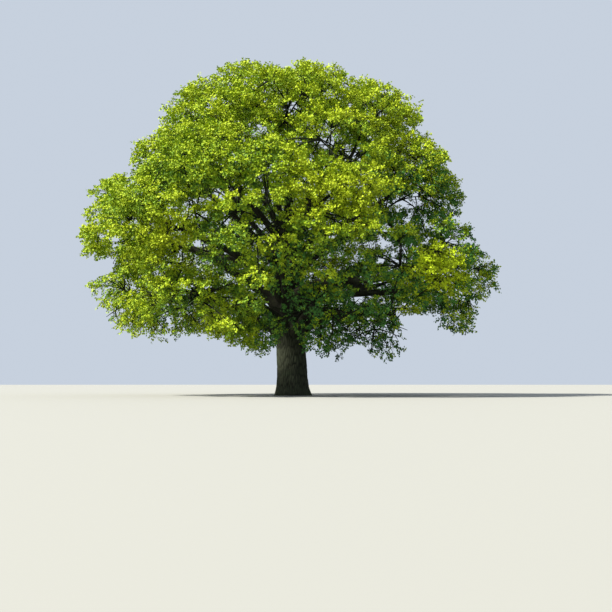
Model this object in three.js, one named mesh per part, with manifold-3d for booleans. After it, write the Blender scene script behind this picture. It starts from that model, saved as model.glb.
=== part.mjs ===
// A free-standing old linden tree: one trunk with a root flare that runs up as the
// leader, boughs in four tiers round it, and a mass of foliage at the tip of each.
// Millimetres, +Z up. The origin is the middle of the flat cut at ground level, +X is
// the tree's right and -Y its front.
import * as THREE from "three";
import { mergeVertices } from "three/addons/utils/BufferGeometryUtils.js";
import Module from "manifold-3d";

const wasm = await Module();
wasm.setup();

const METRE = 1000;
const GAP = 0.3; // between touching solids
const GOLDEN_ANGLE = Math.PI * (3 - Math.sqrt(5));
const UP = new THREE.Vector3(0, 0, 1);

const TRUNK = {
  top: 10.2 * METRE,
  tipRadius: 0.17 * METRE,
  radius: 0.85 * METRE, // where it stands clear
  forkHeight: 4.0 * METRE, // where the first boughs leave and the taper gets steeper
  forkRadius: 0.8 * METRE,
  flare: 0.21 * METRE, // added to the radius at the ground
  flareHeight: 0.5 * METRE, // over which most of the flare dies away
  roots: 5, // buttresses round the foot
  rootDepth: 0.09 * METRE,
  lean: new THREE.Vector3(-0.35 * METRE, 0.1 * METRE, 0), // of the tip from the foot
  sides: 16,
};
const TRUNK_LEVELS = [0, 0.2, 0.5, 1.0, 1.9, 3.0, 4.0, 5.2, 6.8, 8.5, 10.2].map(
  (z) => z * METRE,
);

// Each tier is a ring of boughs with a mass of foliage at each tip. A pair of values is
// for the tree's left side and its right, and the ones between blend from one to the
// other. centre is the middle of a mass: how far out and how high. size is a mass's
// half-width outwards, across and upwards. leave is how high the bough leaves the
// trunk, for even boughs and odd ones, climb the slope that it leaves at, in degrees,
// enter the slope at which it goes into its mass, and bough its radius at foot and tip.
const TIERS = [
  {
    name: "skirt",
    count: 7,
    turn: 180,
    centre: { out: [8.7, 5.3], high: [5.3, 3.8] },
    size: [2.7, 3.3, 1.7],
    leave: [3.35, 3.85],
    climb: 24,
    enter: -12,
    bough: [0.25, 0.11],
    twigs: 5,
  },
  {
    name: "broad",
    count: 8,
    turn: 180,
    centre: { out: [9.4, 9.0], high: [9.5, 6.6] },
    size: [2.9, 3.7, 2.65],
    leave: [4.5, 5.2],
    climb: 42,
    enter: 14,
    bough: [0.3, 0.13],
    twigs: 6,
  },
  {
    name: "shoulder",
    count: 7,
    turn: 180,
    centre: { out: [6.8, 7.0], high: [13.1, 11.9] },
    size: [2.8, 3.4, 2.3],
    leave: [6.1, 7.2],
    climb: 62,
    enter: 40,
    bough: [0.24, 0.11],
    twigs: 5,
  },
  {
    name: "upper",
    count: 5,
    turn: 198,
    centre: { out: [4.3, 4.6], high: [15.8, 15.6] },
    size: [2.7, 2.9, 2.3],
    leave: [8.3, 9.2],
    climb: 72,
    enter: 66,
    bough: [0.17, 0.09],
    twigs: 5,
  },
];
// The mass on the trunk's own tip
const CROWN_TOP = {
  name: "top",
  centre: new THREE.Vector3(-0.35, 0.1, 16.8).multiplyScalar(METRE),
  size: [2.9, 2.9, 2.1],
  twigs: 5,
};
const BOUGH = {
  collar: 0.35, // how much wider it is at its foot, of its radius
  collarLength: 0.14, // over which the collar dies away, of its length
  wander: 0.35 * METRE, // how far its middle strays sideways at most
  turn: 6, // how far its direction strays from the even ring, in degrees
  rise: 0.3 * METRE, // how far its mass strays up or down
  sides: 5,
  steps: 4,
};
const MASS = {
  entry: 0.72, // how far in from its middle a bough meets the mass, in half-widths
  outline: 1.15, // how far out its leaves may go, in half-widths
  apart: 0.04 * METRE, // kept clear on each side of the plane between two masses
  limbClear: 0.05 * METRE, // between its leaves or twigs and any limb
};
const STEM = {
  end: [0.35, 0.15], // how far past the mass's middle it runs, out and up, in half-widths
  ahead: 0.45, // of its length, straight on from the limb that carries it
  tipRadius: 0.11 * METRE,
  sides: 4,
  steps: 2,
};
const TWIG = {
  radius: 0.065 * METRE,
  taper: 0.25, // how much thinner its tip is
  lift: 0.1, // of its middle above the straight line, of its length
  forks: [0.85, 0.2], // where the first and the last leave the stem, along its length
  reach: 0.76, // to its tip, in half-widths of the mass
  back: 1.45, // how far round the mass the tips go: 1 is its outer half, 2 all of it
  leavesAt: [0.96, 0.88, 0.8, 0.5], // along its length, each on its next side
  sides: 3,
  steps: 2,
};
// A leaf solid stands for a spray of leaves
const LEAF = {
  length: 2.4 * METRE,
  width: 0.95, // of its length
  widest: 0.4, // along its length
  thick: 0.05, // at its middle, of its length
  droop: 0.16, // how far its tip hangs below its root, of its length
  forwards: 0.25, // how much it points along its twig, against square to it
  sunk: 0.012 * METRE, // how far its root runs on past its twig's middle
  shorter: [1, 0.88, 0.76, 0.64], // tried in turn where a full one doesn't fit
};
// Where sky shows through the crown from the front, as seen from far off at the eye's
// height: the middle of each gap across and up, and its half-widths, at the trunk.
const EYE = new THREE.Vector3(0.8, -60, 0.7).multiplyScalar(METRE);
const SKY_GAPS = [
  { x: 6.3, z: 10.8, across: 1.15, tall: 0.65 },
  { x: 3.6, z: 13.7, across: 0.75, tall: 0.5 },
  { x: -0.1, z: 16.5, across: 0.7, tall: 0.4 },
  { x: -5.3, z: 10.1, across: 0.8, tall: 0.4 },
  { x: -5.2, z: 8.1, across: 0.7, tall: 0.35 },
  { x: 5.0, z: 8.6, across: 0.7, tall: 0.35 },
];

const matt = (color, roughness) =>
  new THREE.MeshStandardMaterial({ color, roughness, metalness: 0 });
const TRUNK_BARK = matt(0x4a4238, 0.95);
const BOUGH_BARK = matt(0x3f3a31, 0.92);
const LIT_LEAVES = matt(0x8ea41e, 0.6);
const SHADED_LEAVES = matt(0x5f7a1c, 0.62);
const LIT_ABOVE = 8 * METRE;

// A stream of numbers from 0 to 1 that is the same each time for a seed
function randomFrom(seed) {
  let state = seed >>> 0;
  return () => {
    state = (state + 0x6d2b79f5) >>> 0;
    let t = Math.imul(state ^ (state >>> 15), 1 | state);
    t = (t + Math.imul(t ^ (t >>> 7), 61 | t)) ^ t;
    return ((t ^ (t >>> 14)) >>> 0) / 4294967296;
  };
}

const either = (random, most) => (2 * random() - 1) * most;
const radians = THREE.MathUtils.degToRad;
const mix = THREE.MathUtils.lerp;

// A closed solid over points and triangles of their numbers
function solidOf(points, triangles) {
  const geometry = new THREE.BufferGeometry().setFromPoints(points);
  geometry.setIndex(triangles.flat());
  const merged = mergeVertices(geometry, 1e-3);
  return new wasm.Manifold(
    new wasm.Mesh({
      numProp: 3,
      vertProperties: merged.attributes.position.array,
      triVerts: new Uint32Array(merged.index.array),
    }),
  );
}

// A closed skin over rings of points, each ring with as many points as the others
function skinOver(rings) {
  const sides = rings[0].length;
  const last = (rings.length - 1) * sides;
  const triangles = [];
  for (let side = 1; side < sides - 1; side++) {
    triangles.push([0, side + 1, side]);
    triangles.push([last, last + side, last + side + 1]);
  }
  for (let first = 0; first < last; first += sides) {
    for (let side = 0; side < sides; side++) {
      const a = first + side;
      const b = first + ((side + 1) % sides);
      triangles.push([a, b, b + sides], [a, b + sides, a + sides]);
    }
  }
  return solidOf(rings.flat(), triangles);
}

// A direction square to another, turned round it by an angle
function squareTo(along, angle) {
  const across = new THREE.Vector3().crossVectors(UP, along);
  if (across.lengthSq() < 1e-6) across.set(1, 0, 0);
  across.normalize();
  const over = new THREE.Vector3().crossVectors(along, across).normalize();
  return across.multiplyScalar(Math.cos(angle)).addScaledVector(over, Math.sin(angle));
}

// A tapering limb along a curve, with a flat end
function limbAlong(curve, radiusAt, { sides, steps }) {
  const rings = Array.from({ length: steps + 1 }, (_, step) => {
    const t = step / steps;
    const middle = curve.getPoint(t);
    const along = curve.getTangent(t);
    return Array.from({ length: sides }, (_, side) =>
      middle.clone().addScaledVector(squareTo(along, (2 * Math.PI * side) / sides), radiusAt(t)),
    );
  });
  return skinOver(rings);
}

// The trunk's middle and radius at a height
function trunkMiddle(z) {
  return TRUNK.lean.clone().multiplyScalar((z / TRUNK.top) ** 2).setZ(z);
}

function trunkRadius(z) {
  if (z < TRUNK.forkHeight) {
    const taper = mix(TRUNK.radius, TRUNK.forkRadius, z / TRUNK.forkHeight);
    return taper + TRUNK.flare * Math.exp(-z / TRUNK.flareHeight);
  }
  const share = (z - TRUNK.forkHeight) / (TRUNK.top - TRUNK.forkHeight);
  return mix(TRUNK.forkRadius, TRUNK.tipRadius, share ** 0.72);
}

// The trunk, or with grow a copy that much larger all round
function trunkSolid(grow = 0) {
  const rings = TRUNK_LEVELS.map((z) => {
    const past = z === 0 ? -grow : z === TRUNK.top ? grow : 0;
    const middle = trunkMiddle(z);
    const root = TRUNK.rootDepth * Math.exp(-z / TRUNK.flareHeight);
    return Array.from({ length: TRUNK.sides }, (_, side) => {
      const angle = (2 * Math.PI * side) / TRUNK.sides;
      const radius = trunkRadius(z) + root * Math.cos(TRUNK.roots * angle) + grow;
      return new THREE.Vector3(Math.cos(angle), Math.sin(angle), 0)
        .multiplyScalar(radius)
        .add(middle)
        .setZ(z + past);
    });
  });
  return skinOver(rings);
}

// A tier's masses: where each one is, how it is turned and how its bough leaves
function massesOf(tier, tierIndex) {
  return Array.from({ length: tier.count }, (_, index) => {
    const random = randomFrom(100 * (tierIndex + 1) + index);
    const stray = index === 0 ? 0 : either(random, BOUGH.turn);
    const azimuth = radians(tier.turn + (360 * index) / tier.count + stray);
    const rightness = (1 + Math.cos(azimuth)) / 2;
    const out = new THREE.Vector3(Math.cos(azimuth), Math.sin(azimuth), 0);
    const reach = mix(...tier.centre.out, rightness) * METRE;
    const height = mix(...tier.centre.high, rightness) * METRE + either(random, BOUGH.rise);
    return {
      name: `${tier.name}_${index + 1}`,
      seed: 1000 * (tierIndex + 1) + index,
      tier,
      out,
      centre: out.clone().multiplyScalar(reach).setZ(height),
      size: tier.size.map((half) => half * METRE),
      twigs: tier.twigs,
      leave: tier.leave[index % 2] * METRE,
      wander: [either(random, BOUGH.wander), either(random, BOUGH.wander)],
    };
  });
}

// The line of a bough: out of the trunk's middle, and in at its mass's inner side
function boughLine({ tier, out, centre, size, leave, wander }) {
  const slope = (degrees) =>
    out.clone().multiplyScalar(Math.cos(radians(degrees))).setZ(Math.sin(radians(degrees)));
  const enter = slope(tier.enter);
  const inwards = MASS.entry * Math.hypot(
    size[0] * Math.cos(radians(tier.enter)),
    size[2] * Math.sin(radians(tier.enter)),
  );
  const start = trunkMiddle(leave);
  const end = centre.clone().addScaledVector(enter, -inwards);
  const span = start.distanceTo(end);
  const across = new THREE.Vector3().crossVectors(UP, out);
  const leaving = start.clone().addScaledVector(slope(tier.climb), 0.4 * span)
    .addScaledVector(across, wander[0]);
  const arriving = end.clone().addScaledVector(enter, -0.3 * span)
    .addScaledVector(across, wander[1]);
  return new THREE.CubicBezierCurve3(start, leaving, arriving, end);
}

function boughRadius(tier, t) {
  const collar = 1 + BOUGH.collar * Math.exp(-t / BOUGH.collarLength);
  return mix(...tier.bough, t) * METRE * collar;
}

// The line of a mass's stem: straight on from its limb's tip, then to past its middle
function stemLine({ out, centre, size, start, direction }) {
  const end = centre.clone()
    .addScaledVector(out, STEM.end[0] * size[0])
    .addScaledVector(UP, STEM.end[1] * size[2]);
  const middle = start.clone().addScaledVector(direction, STEM.ahead * start.distanceTo(end));
  return new THREE.QuadraticBezierCurve3(start, middle, end);
}

// The k-th of n directions spread evenly over a ball, from its outer end backwards:
// outwards, across and up
function spreadDirection(k, n, turn) {
  const outwards = 1 - ((k + 0.5) / n) * TWIG.back;
  const round = Math.sqrt(1 - outwards ** 2);
  const angle = k * GOLDEN_ANGLE + turn;
  return [outwards, round * Math.cos(angle), round * Math.sin(angle)];
}

// The lines of a mass's twigs: from forks along its stem to tips spread over the mass
function twigLines(mass, stem) {
  const random = randomFrom(mass.seed);
  const turn = random() * 2 * Math.PI;
  const across = new THREE.Vector3().crossVectors(UP, mass.out);
  return Array.from({ length: mass.twigs }, (_, k) => {
    const [outwards, sideways, upwards] = spreadDirection(k, mass.twigs, turn);
    const reach = TWIG.reach + either(random, 0.05);
    const tip = mass.centre.clone()
      .addScaledVector(mass.out, outwards * mass.size[0] * reach)
      .addScaledVector(across, sideways * mass.size[1] * reach)
      .addScaledVector(UP, upwards * mass.size[2] * reach);
    const foot = stem.getPoint(mix(...TWIG.forks, (k + 0.5) / mass.twigs) + either(random, 0.06));
    const middle = foot.clone().lerp(tip, 0.5)
      .addScaledVector(UP, TWIG.lift * foot.distanceTo(tip));
    return new THREE.QuadraticBezierCurve3(foot, middle, tip);
  });
}

// The mass's own space: inside its rounded outline, and on its own side of a plane
// between it and each other mass
function spaceOf(mass, others) {
  const across = new THREE.Vector3().crossVectors(UP, mass.out);
  const walls = others.map((other) => {
    const towards = other.centre.clone().sub(mass.centre);
    const share = mass.size[1] / (mass.size[1] + other.size[1]);
    return { at: mass.centre.clone().addScaledVector(towards, share), towards: towards.normalize() };
  });
  return (point) => {
    const from = point.clone().sub(mass.centre);
    const rounded = Math.hypot(
      from.dot(mass.out) / mass.size[0],
      from.dot(across) / mass.size[1],
      from.z / mass.size[2],
    );
    return (
      rounded < MASS.outline &&
      walls.every(({ at, towards }) => point.clone().sub(at).dot(towards) < -MASS.apart)
    );
  };
}

function inSkyGap(point) {
  const share = EYE.y / (EYE.y - point.y);
  const x = mix(EYE.x, point.x, share) / METRE;
  const z = mix(EYE.z, point.z, share) / METRE;
  return SKY_GAPS.some(
    (gap) => Math.hypot((x - gap.x) / gap.across, (z - gap.z) / gap.tall) < 1,
  );
}

// The corners of a leaf: root, left, tip, right, and the top of its midrib
function leafCorners(root, along, face, length) {
  const left = new THREE.Vector3().crossVectors(face, along).normalize();
  const at = (forwards, sideways, above) =>
    root.clone()
      .addScaledVector(along, forwards * length)
      .addScaledVector(left, sideways * length)
      .addScaledVector(face, above * length);
  return [
    at(-LEAF.sunk / length, 0, 0),
    at(LEAF.widest, LEAF.width / 2, 0),
    at(1, 0, -LEAF.droop),
    at(LEAF.widest, -LEAF.width / 2, 0),
    at(LEAF.widest, 0, LEAF.thick),
  ];
}

const LEAF_FACES = [[0, 3, 4], [3, 2, 4], [2, 1, 4], [1, 0, 4], [0, 1, 3], [1, 2, 3]];

// A mass of foliage: its stem, the twigs that branch from it, and leaves on the twigs'
// flat sides with their faces outwards. What would leave the mass's space, touch a limb
// or cross another leaf is left out.
function massSolid(mass, inSpace, limbs) {
  const stem = stemLine(mass);
  const wood = [limbAlong(stem, (t) => mix(mass.startRadius, STEM.tipRadius, t), STEM)];
  const leaves = [];
  const meets = (solid, others) => others.some((other) => !solid.intersect(other).isEmpty());

  const addLeaf = (root, along, face) => {
    for (const share of LEAF.shorter) {
      const corners = leafCorners(root, along, face, LEAF.length * share);
      if (!corners.slice(1).every(inSpace) || corners.slice(1).some(inSkyGap)) continue;
      const leaf = solidOf(corners, LEAF_FACES);
      if (meets(leaf, limbs) || meets(leaf, leaves)) continue;
      leaves.push(leaf);
      return;
    }
  };

  for (const line of twigLines(mass, stem)) {
    const tip = line.getPoint(1);
    if (!inSpace(tip)) continue;
    const twig = limbAlong(line, (t) => TWIG.radius * (1 - TWIG.taper * t), TWIG);
    if (meets(twig, limbs)) continue;
    wood.push(twig);
    const outwards = tip.sub(mass.centre).normalize();
    TWIG.leavesAt.forEach((at, index) => {
      const ahead = line.getTangent(at);
      const along = squareTo(ahead, ((2 * index + 1) * Math.PI) / TWIG.sides)
        .addScaledVector(ahead, LEAF.forwards)
        .normalize();
      const face = outwards.clone().addScaledVector(along, -outwards.dot(along)).normalize();
      addLeaf(line.getPoint(at), along, face);
    });
  }
  return biggestPiece(wasm.Manifold.union([...wood, ...leaves]));
}

// The largest body alone, without loose scraps or the walls of sealed hollows
function biggestPiece(solid) {
  return solid.decompose().reduce((a, b) => (b.volume() > a.volume() ? b : a));
}

function meshOf(name, solid, material) {
  const { vertProperties, triVerts, numProp, numVert } = solid.getMesh();
  const positions = new Float32Array(numVert * 3);
  for (let i = 0; i < numVert; i++) {
    positions.set(vertProperties.subarray(i * numProp, i * numProp + 3), i * 3);
  }
  const geometry = new THREE.BufferGeometry();
  geometry.setAttribute("position", new THREE.BufferAttribute(positions, 3));
  geometry.setIndex(new THREE.BufferAttribute(new Uint32Array(triVerts), 1));
  geometry.computeVertexNormals();
  const mesh = new THREE.Mesh(geometry, material);
  mesh.name = name;
  return mesh;
}

function buildTree() {
  const tree = new THREE.Group();
  tree.name = "linden_tree";
  tree.add(meshOf("trunk", trunkSolid(), TRUNK_BARK));

  // Each bough is cut where it meets the trunk and the boughs already there
  const masses = TIERS.flatMap(massesOf);
  const limbs = [trunkSolid(MASS.limbClear)];
  const cutters = [trunkSolid(GAP)];
  for (const mass of masses) {
    const line = boughLine(mass);
    const limb = (grow) => limbAlong(line, (t) => boughRadius(mass.tier, t) + grow, BOUGH);
    const bough = biggestPiece(limb(0).subtract(wasm.Manifold.union(cutters)));
    tree.add(meshOf(`bough_${mass.name}`, bough, BOUGH_BARK));
    limbs.push(limb(MASS.limbClear));
    cutters.push(limb(GAP));
    mass.direction = line.getTangent(1);
    mass.start = line.getPoint(1).addScaledVector(mass.direction, GAP);
    mass.startRadius = boughRadius(mass.tier, 1);
  }
  masses.push({
    ...CROWN_TOP,
    seed: 9000,
    out: new THREE.Vector3(1, 0, 0),
    size: CROWN_TOP.size.map((half) => half * METRE),
    direction: UP,
    start: trunkMiddle(TRUNK.top).addScaledVector(UP, GAP),
    startRadius: TRUNK.tipRadius,
  });

  for (const mass of masses) {
    const inSpace = spaceOf(mass, masses.filter((other) => other !== mass));
    const leaves = mass.centre.z > LIT_ABOVE ? LIT_LEAVES : SHADED_LEAVES;
    tree.add(meshOf(`foliage_${mass.name}`, massSolid(mass, inSpace, limbs), leaves));
  }
  return tree;
}

export default buildTree();
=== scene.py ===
"""The looks of an old linden tree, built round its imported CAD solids.

Metres, +Z up. The origin is the middle of the trunk's flat cut at ground level, +X is
the tree's right and -Y its front. The trunk, boughs, stems and first twigs repeat the
rule of the CAD source. Finer twigs, shoots and leaves grow on from them as joined
meshes made from arrays.
"""

import math
from dataclasses import dataclass

import bpy
import numpy as np
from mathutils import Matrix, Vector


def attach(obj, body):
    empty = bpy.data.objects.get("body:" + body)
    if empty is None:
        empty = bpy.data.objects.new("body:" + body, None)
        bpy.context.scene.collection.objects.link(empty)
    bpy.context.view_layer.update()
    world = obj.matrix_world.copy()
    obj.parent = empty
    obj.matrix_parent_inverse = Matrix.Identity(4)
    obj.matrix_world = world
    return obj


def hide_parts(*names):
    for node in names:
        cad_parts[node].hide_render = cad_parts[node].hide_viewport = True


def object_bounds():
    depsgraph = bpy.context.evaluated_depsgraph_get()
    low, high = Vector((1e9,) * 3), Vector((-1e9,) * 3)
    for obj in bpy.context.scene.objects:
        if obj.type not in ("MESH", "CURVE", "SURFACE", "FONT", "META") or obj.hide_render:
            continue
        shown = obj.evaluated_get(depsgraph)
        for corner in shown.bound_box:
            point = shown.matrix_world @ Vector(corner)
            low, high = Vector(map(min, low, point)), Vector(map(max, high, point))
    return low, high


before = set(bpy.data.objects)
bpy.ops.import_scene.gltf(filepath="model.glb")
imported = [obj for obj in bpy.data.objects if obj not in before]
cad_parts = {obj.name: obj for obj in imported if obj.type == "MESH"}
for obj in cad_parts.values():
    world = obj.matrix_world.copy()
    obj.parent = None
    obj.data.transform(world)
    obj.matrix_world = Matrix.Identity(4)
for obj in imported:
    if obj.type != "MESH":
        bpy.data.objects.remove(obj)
cad_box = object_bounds()

UP = np.array([0.0, 0.0, 1.0])
GOLDEN_ANGLE = math.pi * (3 - math.sqrt(5))
UINT32 = 0xFFFFFFFF

TRUNK_TOP = 10.2
TRUNK_TIP_RADIUS = 0.17
TRUNK_RADIUS = 0.85
FORK_HEIGHT = 4.0
FORK_RADIUS = 0.8
TAPER = 0.72  # below 1, the trunk thins soonest just above its fork
FLARE = 0.21
FLARE_HEIGHT = 0.5
ROOTS = 5
ROOT_DEPTH = 0.09
LEAN = np.array([-0.35, 0.1, 0.0])


@dataclass
class Tier:
    """A ring of boughs, each with a mass of foliage at its tip. out and high are pairs,
    for the tree's left side and its right."""

    name: str
    count: int
    turn: float  # of the first bough, in degrees
    out: tuple  # from the trunk's axis to the mass's middle
    high: tuple
    size: tuple  # the mass's half-widths outwards, across and up
    leave: tuple  # the height where even boughs leave the trunk, and odd ones
    climb: float  # their slope there, in degrees
    enter: float  # their slope at the mass
    bough: tuple  # the radius at foot and tip
    twigs: int
    hang: float  # how much the shoots droop


TIERS = [
    Tier("skirt", 7, 180, (8.7, 5.3), (5.3, 3.8), (2.7, 3.3, 1.7), (3.35, 3.85), 24, -12,
         (0.25, 0.11), 5, 0.45),
    Tier("broad", 8, 180, (9.4, 9.0), (9.5, 6.6), (2.9, 3.7, 2.65), (4.5, 5.2), 42, 14,
         (0.3, 0.13), 6, 0.25),
    Tier("shoulder", 7, 180, (6.8, 7.0), (13.1, 11.9), (2.8, 3.4, 2.3), (6.1, 7.2), 62, 40,
         (0.24, 0.11), 5, 0.1),
    Tier("upper", 5, 198, (4.3, 4.6), (15.8, 15.6), (2.7, 2.9, 2.3), (8.3, 9.2), 72, 66,
         (0.17, 0.09), 5, -0.05),
]
# The pieces that twigs and leaves are joined into, and the masses in each
GROUPS = {
    "skirt_front": [f"skirt_{n}" for n in range(1, 5)],
    "skirt_back": [f"skirt_{n}" for n in range(5, 8)],
    "broad_front": [f"broad_{n}" for n in range(1, 5)],
    "broad_back": [f"broad_{n}" for n in range(5, 9)],
    "shoulder_front": [f"shoulder_{n}" for n in range(1, 5)],
    "shoulder_back": [f"shoulder_{n}" for n in range(5, 8)],
    "upper": [f"upper_{n}" for n in range(1, 6)] + ["top"],
}
MASS_SEEDS = 100  # how far apart the seeds of two tiers are, as in the next one
TWIG_SEEDS = 1000
BOUGH_COLLAR = 0.35  # how much wider its foot is, and over what share of its length
BOUGH_COLLAR_LENGTH = 0.14
BOUGH_WANDER = 0.35
BOUGH_TURN = 6  # degrees at most off its place in the ring
BOUGH_RISE = 0.3
BOUGH_HANDLES = (0.4, 0.3)  # how far the slopes at foot and tip hold, in its span
MASS_ENTRY = 0.72  # how far from its mass's middle it ends, in half-widths
STEM_END = (0.35, 0.15)  # out and up from there, in the same
STEM_AHEAD = 0.45  # how far it goes on as the bough did
TWIG_LIFT = 0.1
TWIG_FORKS = (0.85, 0.2)  # where the first and the last twig leave the stem
TWIG_FORK_STRAY = 0.06
TWIG_REACH = 0.76  # in half-widths of the mass
TWIG_REACH_STRAY = 0.05
TWIG_BACK = 1.45  # how far back they spread: 0 is none but the foremost, 2 is all round
TOP_CENTRE = np.array([-0.35, 0.1, 16.8])
TOP_SIZE = np.array([2.9, 2.9, 2.1])
TOP_TWIGS = 5
TOP_HANG = -0.05
TOP_SEED = 9000

# Finer growth: a billow of foliage round each twig's tip, with finer twigs and billows
# spread over each mass, over the crown where its masses leave it thin, and along the
# boughs. Twiglets spread over each billow, and carry shoots with two ranks of leaves.
GROWTH_SEED = 7
BILLOW = np.array([0.86, 0.86, 0.62])  # half-widths
BILLOW_INSIDE = 0.7  # the share of them that stays inside the crown's reach
FINER_TWIGS = 20  # tried in a mass
FINER_APART = 0.95  # in half-widths of a billow, as in the next ones
FINER_BACK = 1.8
FINER_REACH = (0.7, 0.9)
FINER_BELOW = 0.6  # how flat a mass is under its middle
FINER_OVERLAP = 0.1
LOBE_TWIGS = 40  # tried on each lobe
LOBE_APART = 1.1
LOBE_SHARE = 0.9  # how far out they are
LOBE_SIGHT = np.linspace(0.8, 1.2, 100)  # steps along the sight line, past the trunk
CROWN_TWIGS = 1500  # tried over the crown
CROWN_APART = 1.4
CROWN_DOWN = 1.94  # how far down round it: 2 is all the way
VALLEY = 3.2  # how much deeper twigs between masses stay at front and back
VALLEY_LEAST = 0.5
SPRIGS = 6  # tried along a bough
SPRIG_APART = 1.6
SPRIG_SPAN = (0.36, 0.95)
SPRIG_SWING = 1.5  # up or down from the level, in radians
SPRIG_AHEAD = 0.5
SPRIG_LENGTH = (1.0, 1.9)
STEM_FEET = np.linspace(0.1, 0.9, 9)  # where finer twigs can leave a stem, and so on
TWIG_FEET = np.linspace(0.2, 0.7, 6)
BOUGH_FEET = np.linspace(0.4, 0.95, 12)

TWIGLETS = 6
TWIGLET_BACK = 1.5
TWIGLET_REACH = (0.6, 0.9)  # in half-widths of the billow
TWIGLET_VARIES = (0.85, 1.15)  # from billow to billow
TWIGLET_SAG = 0.4
TWIGLET_FORKS = (0.99, 0.5)
TWIGLET_FORK_STRAY = 0.08
TWIGLET_LIFT = 0.08
TWIGLET_ARCH = 0.12  # more lift where shoots hang
TWIGLET_CROOK = 0.05
LAYER_FLATNESS = 0.6  # billows low down are this flat
LAYER_HEIGHTS = (8.0, 13.0)  # and from here to here grow round
WAY_STRAY = 0.15  # of twiglets, and of shoots

SHOOTS = 6
SHOOT_START = 0.42
SHOOT_OFFSET = 0.7
SHOOT_CROWDING = 0.8  # below 1, they crowd towards the tip
SHOOT_STRAY = 0.05
SHOOT_AHEAD = 0.6
SHOOT_SPLAY = (1.1, 0.5)  # at the first shoot and the last
SHOOT_OUTWARDS = 0.3
SHOOT_LENGTH = (0.3, 0.52)
FLATTEN = np.array([1.0, 1.0, 0.55])  # sprays lie in layers
SPRAY_OUTWARDS = 0.75  # which way a spray's leaves face
SPRAY_UPWARDS = 0.55
SPRAY_STRAY = 0.3

STEM_TIP_RADIUS = 0.03
STEM_TAPER = 0.5  # below 1, it thins soonest at its foot
STEM_RINGS = 9
STEM_SIDES = 8
TWIG_RADII = np.linspace(0.05, 0.016, 5)
TWIG_SIDES = 4
TWIGLET_RADII = np.array([0.016, 0.007])
TWIGLET_SIDES = 3
SHOOT_RADIUS = 0.006

LEAVES = 14
LEAF_LENGTH = 0.118
LEAF_VARIES = (0.7, 1.2)
LEAF_START = 0.1  # the bare foot of a shoot
LEAF_STEP = (0.2, 1.0)  # where in its own length of the shoot each leaf is
LEAF_AHEAD = 0.5
LEAF_SPLAY = 0.8
LEAF_DROOP = 0.3
LEAF_STRAY = 0.4
LEAF_TILT = 0.85
LAST_SPLAY = 0.15  # the last leaf lies nearly along its shoot
PETIOLE = (0.01, 0.1)
# The corners of a leaf along its midrib, sideways and above, in leaf lengths: its foot,
# a lobe, the tip and the other lobe. A linden's leaf is lopsided.
LEAF_CORNERS = np.array([
    (0.0, 0.0, 0.0),
    (0.2, 0.53, 0.1),
    (1.0, 0.0, -0.1),
    (0.3, -0.5, 0.1),
])
LEAF_FACES = np.array([(0, 2, 1), (0, 3, 2)])

# The crown's reach on its left and its right from top to bottom, out from the axis and
# up. Elsewhere it lies between the two. A share of 1 is out at this reach.
CROWN_MIDDLE = np.array([0.0, 0.0, 9.2])
CROWN_SLACK = 1.05  # how much further it may reach out of the front's sight
CEILING = cad_box[1][2] + 0.25
RAGGED = 0.025  # how far single shoots reach past it
RAGGED_BELOW = 0.06  # and how far they hang past it, below the next height
RAGGED_TOP = 7.2
LEFT_REACH = [
    (0.5, 18.9), (1.2, 19.15), (2.7, 19.5), (4.2, 19.2), (6.3, 17.8), (7.9, 16.6),
    (7.5, 15.5), (9.1, 14.5), (9.4, 13.0), (11.0, 12.3), (11.9, 11.6), (11.7, 10.9),
    (12.1, 9.7), (12.1, 8.0), (10.1, 7.6), (10.1, 7.2), (11.9, 6.4), (11.8, 5.7),
    (10.8, 5.1), (10.7, 4.1), (10.4, 3.5), (9.2, 3.1), (7.0, 2.9), (6.2, 3.4),
    (5.2, 3.4), (4.2, 3.1), (2.8, 2.3), (1.6, 1.9),
]
RIGHT_REACH = [
    (0.9, 19.4), (1.9, 19.3), (3.5, 18.7), (5.7, 17.9), (7.4, 16.8), (7.5, 15.8),
    (8.1, 14.8), (9.4, 13.4), (9.9, 11.0), (10.3, 9.9), (10.4, 8.8), (11.7, 7.5),
    (11.7, 6.4), (10.9, 4.9), (10.8, 3.6), (10.3, 2.9), (9.5, 3.1), (7.6, 4.6),
    (6.1, 4.7), (6.3, 3.4), (6.8, 2.4), (6.2, 1.9), (4.6, 1.9), (3.7, 2.8),
    (2.9, 1.9), (1.4, 1.9),
]
LACE_HEIGHTS = (9.0, 5.5)  # down from the first the crown's rim and underside grow lacy
LACE_RIM = (0.6, 0.95)  # how far out that starts, and where it is full
LACE = np.array([  # across, the share of the shoots missing there
    (-11, 0.8), (-9.5, 0.6), (-8.5, 0.45), (-2, 0.4), (2, 0.5), (5.5, 0.75), (8, 0.45),
    (10.5, 0.55),
])
UNDER_HEIGHTS = (5.2, 3.6)  # down from the first all of it thins out
UNDER_SHARE = 0.96  # how far out twiglets end there
UNDER = np.array([  # across, the share of the shoots missing there
    (-11, 0.75), (-6, 0.75), (-4, 0.45), (-1, 0.35), (1, 0.6), (3, 0.8), (7, 0.8), (9, 0.6),
])
INNER = ((0.4, 0.64), (0.4, 1))  # how far out, then the share of the shoots there

# The crown's finer features as the front sees them. Each row starts with the feature's
# middle across and up, then its half-widths across and up, all at the trunk.
EYE = np.array([0.8, -60.0, 0.7])
PITCH = 4.19  # degrees above the level
FRONT_DEPTH = 1.0  # foliage further back than this isn't the front's
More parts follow.
